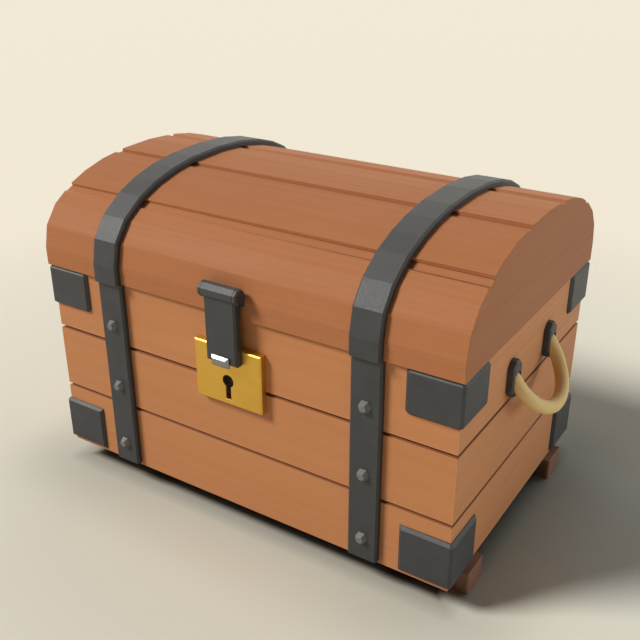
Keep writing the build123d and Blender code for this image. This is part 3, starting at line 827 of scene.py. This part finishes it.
def make_lid_boards():
    """The staves and the two end boards; the step at the front joint is painted paler, a painted light, and
    the end boards darker, a painted shade.
    """
    stave_wood = board_wood("stave_wood", lid_light, lid_dark, stain_and_light_share=lid_stain_and_shade_share,
                            specular=lid_gloss)
    painted_light_wood = board_wood("painted_light_stave_wood", lid_light, lid_dark, stain_and_painted_light=step_painted_light,
                             stain_and_light_share=step_painted_light_share, specular=lid_gloss)
    end_wood = board_wood("lid_end_wood_painted_darker", lid_end_light_painted_darker, lid_end_dark_painted_darker, turn=(0, 0, -math.pi / 2),
                          wear_share=0.0, specular=lid_gloss)
    aside = Vector((1, 0, 0))
    end_trees = {}
    for end, side in (("left", -1), ("right", 1)):
        node = f"lid_end_{end}"
        end_trees[side] = board(node, end_wood, (0, 1, 0), (0, 0, -1), aside * -side)[1]
    for name in stave_names:
        wood = painted_light_wood if name == painted_light_stave else stave_wood
        piece, tree = board(f"lid_stave_{name}", wood, aside, None, (0, 0, -1))
        cap_stave(piece, tree, end_trees, end_wood)


def make_feet():
    wood = board_wood("foot_wood", foot_light, foot_dark, turn=(0, 0, -math.pi / 2))
    for corner in corners:
        board(f"foot_{corner}", wood, (0, 1, 0), "all", (1, 0, 0), foot_ease)


# Metalwork

def make_ironwork():
    iron = dark_iron("black_iron", iron_colour, iron_worn, iron_roughness)
    for corner in corners:
        for level in ("lower", "upper"):
            fitting(f"bracket_{level}_{corner}", iron, iron_ease)
        fitting(f"strap_{corner}", iron, iron_ease)
    for end in ("left", "right"):
        fitting(f"lid_band_{end}", iron, iron_ease)
        for place in ("front", "rear"):
            fitting(f"handle_plate_{end}_{place}", iron, iron_ease)
    for node in ("hasp_leaf", "hasp_pin", "hasp_arm", "lid_hinge_pins", "handle_pins"):
        fitting(node, iron, fine_ease)


def make_lock(brass, steel):
    """The lock, its case lined with steel, which is what shows through the keyhole."""
    low, high = (Vector(corner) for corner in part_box("lock_case"))
    wall = Vector((1, 1, 1)) * case_wall
    case = fitting("lock_case", brass, brass_ease)
    case.data.materials.append(steel)
    for face in case.data.polygons:
        if all(least < value < most for least, value, most in zip(low + wall, face.center, high - wall)):
            face.material_index = 1
    for node in ("lock_back_plate", "lock_bolt", "hasp_staple"):
        fitting(node, steel, fine_ease)


# Rivets and screws, repeated by one tree each

def new_tree(name, sizes):
    """An empty tree with named inputs for its places and sizes."""
    tree = bpy.data.node_groups.new(name, "GeometryNodeTree")
    tree.interface.new_socket("Places", in_out="INPUT", socket_type="NodeSocketGeometry")
    for size in sizes:
        tree.interface.new_socket(size, in_out="INPUT", socket_type="NodeSocketFloat")
    tree.interface.new_socket("Result", in_out="OUTPUT", socket_type="NodeSocketGeometry")
    return tree, tree.nodes.new("NodeGroupInput").outputs


def moved(tree, shape, height):
    """A shape moved along its own axis."""
    place = add(tree, "ShaderNodeCombineXYZ", {"Z": height}).outputs["Vector"]
    return add(tree, "GeometryNodeTransform", {"Geometry": shape, "Translation": place}).outputs["Geometry"]


def half_down(tree, length):
    """Minus half a length, which moves a shape's top down to where its middle was."""
    return combine(tree, "MULTIPLY", length, -0.5)


def set_out(tree, head, shank, places, material):
    """The head and shank joined, turned outwards at every place, and made real."""
    whole = add(tree, "GeometryNodeJoinGeometry")
    tree.links.new(head, whole.inputs["Geometry"])
    tree.links.new(shank, whole.inputs["Geometry"])
    facing = add(tree, "GeometryNodeInputNamedAttribute", {"Name": "facing"}, data_type="FLOAT_VECTOR")
    turn = add(tree, "FunctionNodeAlignRotationToVector", {"Vector": facing.outputs["Attribute"]}, axis="Z")
    points = add(tree, "GeometryNodeMeshToPoints", {"Mesh": places}).outputs["Points"]
    sockets = {"Points": points, "Instance": whole.outputs["Geometry"], "Rotation": turn.outputs["Rotation"]}
    laid = add(tree, "GeometryNodeInstanceOnPoints", sockets).outputs["Instances"]
    real = add(tree, "GeometryNodeRealizeInstances", {"Geometry": laid}).outputs["Geometry"]
    painted = add(tree, "GeometryNodeSetMaterial", {"Geometry": real, "Material": material})
    tree.links.new(painted.outputs["Geometry"], tree.nodes.new("NodeGroupOutput").inputs["Result"])


def rivet_tree(material):
    """Six-sided heads that narrow to a flat crown, on round shanks."""
    tree, size = new_tree("rivets", rivet_sizes)
    cone = {"Vertices": rivet_sides, "Radius Top": size["Crown radius"],
            "Radius Bottom": size["Head radius"], "Depth": size["Head height"]}
    head = add(tree, "GeometryNodeMeshCone", cone).outputs["Mesh"]
    rod = {"Vertices": shank_sides, "Radius": size["Shank radius"], "Depth": size["Shank length"]}
    shank = add(tree, "GeometryNodeMeshCylinder", rod).outputs["Mesh"]
    shank = moved(tree, shank, half_down(tree, size["Shank length"]))
    set_out(tree, head, shank, size["Places"], material)
    return tree


def screw_tree(material):
    """Round heads with a slot across, sunk flush in their plate, on round shanks."""
    tree, size = new_tree("screws", screw_sizes)
    disc = {"Vertices": screw_sides, "Radius": size["Head radius"], "Depth": size["Head height"]}
    head = add(tree, "GeometryNodeMeshCylinder", disc).outputs["Mesh"]
    length = combine(tree, "MULTIPLY", size["Head radius"], cutter_length_share)
    depth = combine(tree, "MULTIPLY", size["Slot depth"], cutter_depth_share)
    extent = add(tree, "ShaderNodeCombineXYZ", {"X": length, "Y": size["Slot width"], "Z": depth})
    slot = add(tree, "GeometryNodeMeshCube", {"Size": extent.outputs["Vector"]}).outputs["Mesh"]
    slot = moved(tree, slot, combine(tree, "MULTIPLY", size["Head height"], 0.5))
    both = {"Mesh 1": head, "Mesh 2": slot}
    cut = add(tree, "GeometryNodeMeshBoolean", both, operation="DIFFERENCE", solver="EXACT")
    head = moved(tree, cut.outputs["Mesh"], half_down(tree, size["Head height"]))
    rod = {"Vertices": shank_sides, "Radius": size["Shank radius"], "Depth": size["Shank length"]}
    shank = add(tree, "GeometryNodeMeshCylinder", rod).outputs["Mesh"]
    low = combine(tree, "SUBTRACT", half_down(tree, size["Shank length"]), size["Head height"])
    set_out(tree, head, moved(tree, shank, low), size["Places"], material)
    return tree


def repeat(name, tree, sizes, places, width):
    """The tree's pieces at each place, given with the direction that it faces, as one plain mesh."""
    mesh = bpy.data.meshes.new(name)
    mesh.from_pydata([place for place, facing in places], [], [])
    store = mesh.attributes.new("facing", "FLOAT_VECTOR", "POINT")
    store.data.foreach_set("vector", [value for place, facing in places for value in facing])
    piece = bpy.data.objects.new(name, mesh)
    bpy.context.scene.collection.objects.link(piece)
    maker = piece.modifiers.new("maker", "NODES")
    maker.node_group = tree
    for socket in tree.interface.items_tree:
        if socket.name in sizes:
            maker[socket.identifier] = sizes[socket.name]
    bake_modifiers(piece)
    work = bmesh.new()
    work.from_mesh(piece.data)
    mark_edges(work, is_corner, is_corner)
    smooth_into(piece.data, work)
    round_edges(piece, width)
    return piece


def make_rivets():
    iron = dark_iron("rivet_iron", rivet_colour, rivet_worn, rivet_roughness)
    seat = half_depth + strap_thickness
    places = [((x, side * seat, level), (0, side, 0)) for side in (-1, 1) for x in strap_places
              for level in rivet_levels]
    piece = repeat("strap_rivets_finished", rivet_tree(iron), rivet_sizes, places, rivet_ease)
    dress(piece, iron, "strap_rivets")


def make_screws(steel):
    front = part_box("hasp_leaf_screws")[0][1]
    places = [((x, front, screw_level), (0, -1, 0)) for x in screw_places]
    piece = repeat("hasp_leaf_screws_finished", screw_tree(steel), screw_sizes, places, screw_ease)
    dress(piece, steel, "hasp_leaf_screws")


# Handles

def bail_piece(side):
    """Half a ring of round cane on short legs with domed ends, hanging out from the wall."""
    radius = bail_thickness / 2
    work = bmesh.new()
    fibre = work.verts.layers.float_vector.new("fibre")
    rings = []
    for centre, outward, size, run in bail_stations(radius):
        ring = []
        for spoke in range(bail_sides):
            angle = 2 * math.pi * spoke / bail_sides
            point = centre + (outward * math.cos(angle) + across_bail() * math.sin(angle)) * size
            vert = work.verts.new((side * point.x, point.y, point.z))
            vert[fibre] = (run, radius * math.cos(angle), radius * math.sin(angle))
            ring.append(vert)
        rings.append(ring)
    for first, second in zip(rings, rings[1:]):
        for spoke in range(bail_sides):
            after = (spoke + 1) % bail_sides
            work.faces.new((first[spoke], first[after], second[after], second[spoke]))
    work.faces.new(rings[0][::-1])
    work.faces.new(rings[-1])
    bmesh.ops.recalc_face_normals(work, faces=work.faces)
    return new_piece("handle_bail_" + ("right" if side > 0 else "left") + "_finished", work)


def down_bail():
    return Vector((math.sin(bail_tilt), 0, -math.cos(bail_tilt)))


def across_bail():
    return Vector((math.cos(bail_tilt), 0, math.sin(bail_tilt)))


def bail_stations(radius):
    """Each ring of points: its centre, its outward direction, its radius and the way run so far."""
    down = down_bail()
    front = Vector((0, -1, 0))
    stations = []
    for step in range(1, bail_end_steps + 1):
        angle = math.pi / 2 * step / bail_end_steps
        centre = bail_pivot + front * bail_radius - down * radius * math.cos(angle)
        stations.append((centre, front, radius * math.sin(angle), -radius * math.cos(angle)))
    for step in range(bail_steps + 1):
        turn = math.pi * step / bail_steps
        outward = front * math.cos(turn) + down * math.sin(turn)
        centre = bail_pivot + down * bail_leg + outward * bail_radius
        stations.append((centre, outward, radius, bail_leg + turn * bail_radius))
    whole = 2 * bail_leg + math.pi * bail_radius
    for step in range(bail_end_steps, 0, -1):
        angle = math.pi / 2 * step / bail_end_steps
        centre = bail_pivot - front * bail_radius - down * radius * math.cos(angle)
        stations.append((centre, -front, radius * math.sin(angle), whole + radius * math.cos(angle)))
    return stations


def make_bails():
    cane = bent_cane()
    for side, end in ((-1, "left"), (1, "right")):
        dress(bail_piece(side), cane, f"handle_bail_{end}")


look_through_camera()
light_the_room()
lay_floor()
make_body_boards()
make_lid_boards()
make_feet()
make_ironwork()
brass = satin_metal("satin_brass", brass_colour, brass_dull, brass_roughness, brass_brush)
steel = satin_metal("bright_steel", steel_colour, steel_dull, steel_roughness, steel_brush)
make_lock(brass, steel)
make_rivets()
make_screws(steel)
make_bails()
